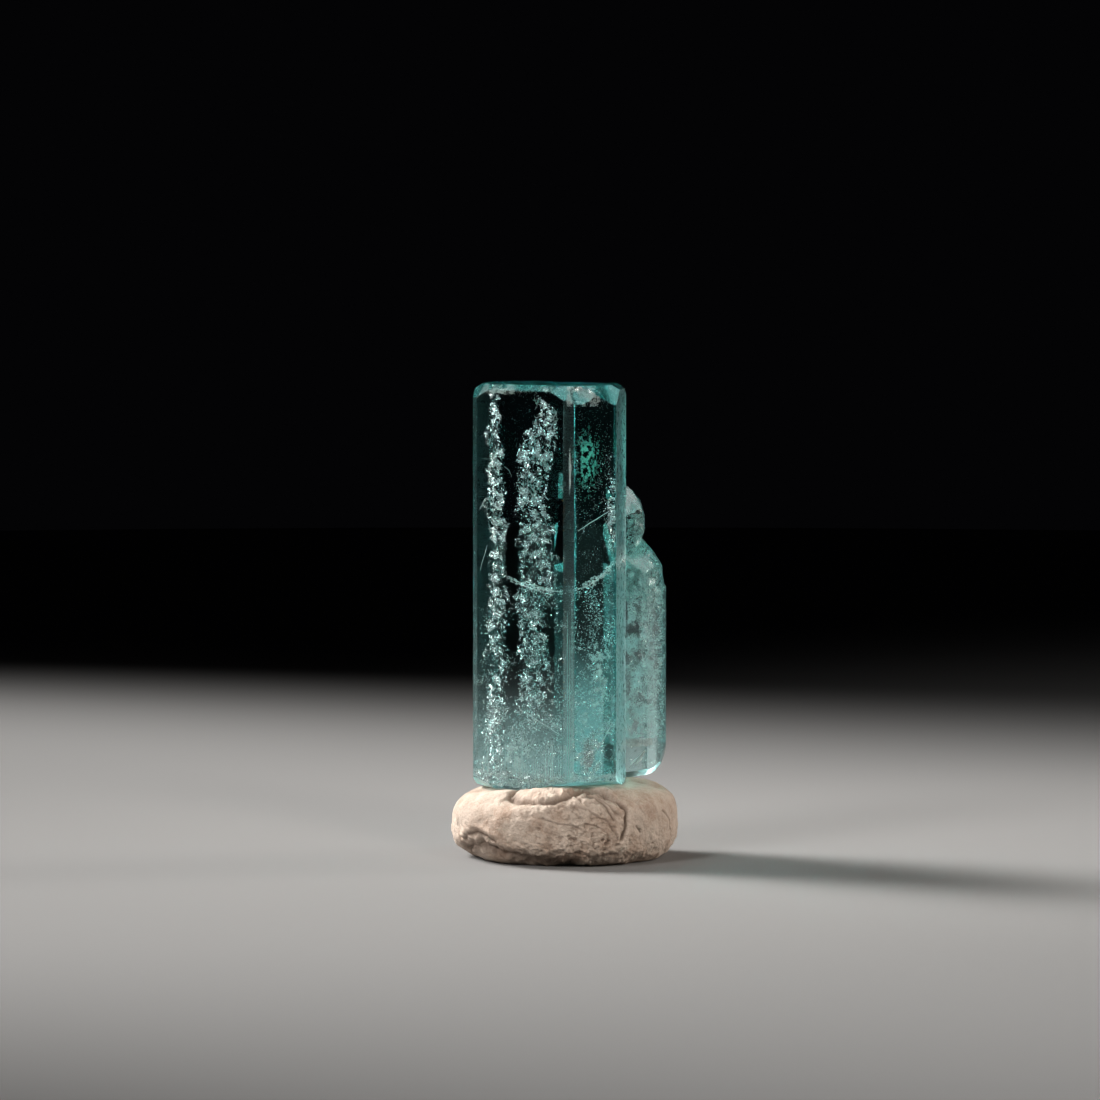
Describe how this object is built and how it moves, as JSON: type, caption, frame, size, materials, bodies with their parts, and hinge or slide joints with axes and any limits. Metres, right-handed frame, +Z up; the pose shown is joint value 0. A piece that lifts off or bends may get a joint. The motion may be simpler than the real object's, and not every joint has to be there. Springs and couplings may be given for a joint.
{
  "type": "vanadium beryl crystal on putty",
  "caption": "Upright hexagonal beryl prism with flat ends and a smaller crystal grown along one side, standing in a flat-bottomed pinch of soft putty.",
  "frame": {"origin": "middle of the putty's flat underside", "axes": "+Z up along the crystal's long axis, -Y towards the front, +X to the right, where the smaller crystal is"},
  "size_m": [0.0141, 0.0134, 0.0291],
  "materials": {
    "beryl": "clear blue-green crystal with natural flat faces",
    "putty": "matt kneaded mounting putty"
  },
  "bodies": {
    "root": {"beryl_crystal": "beryl", "mounting_putty": "putty"}
  },
  "joints": []
}
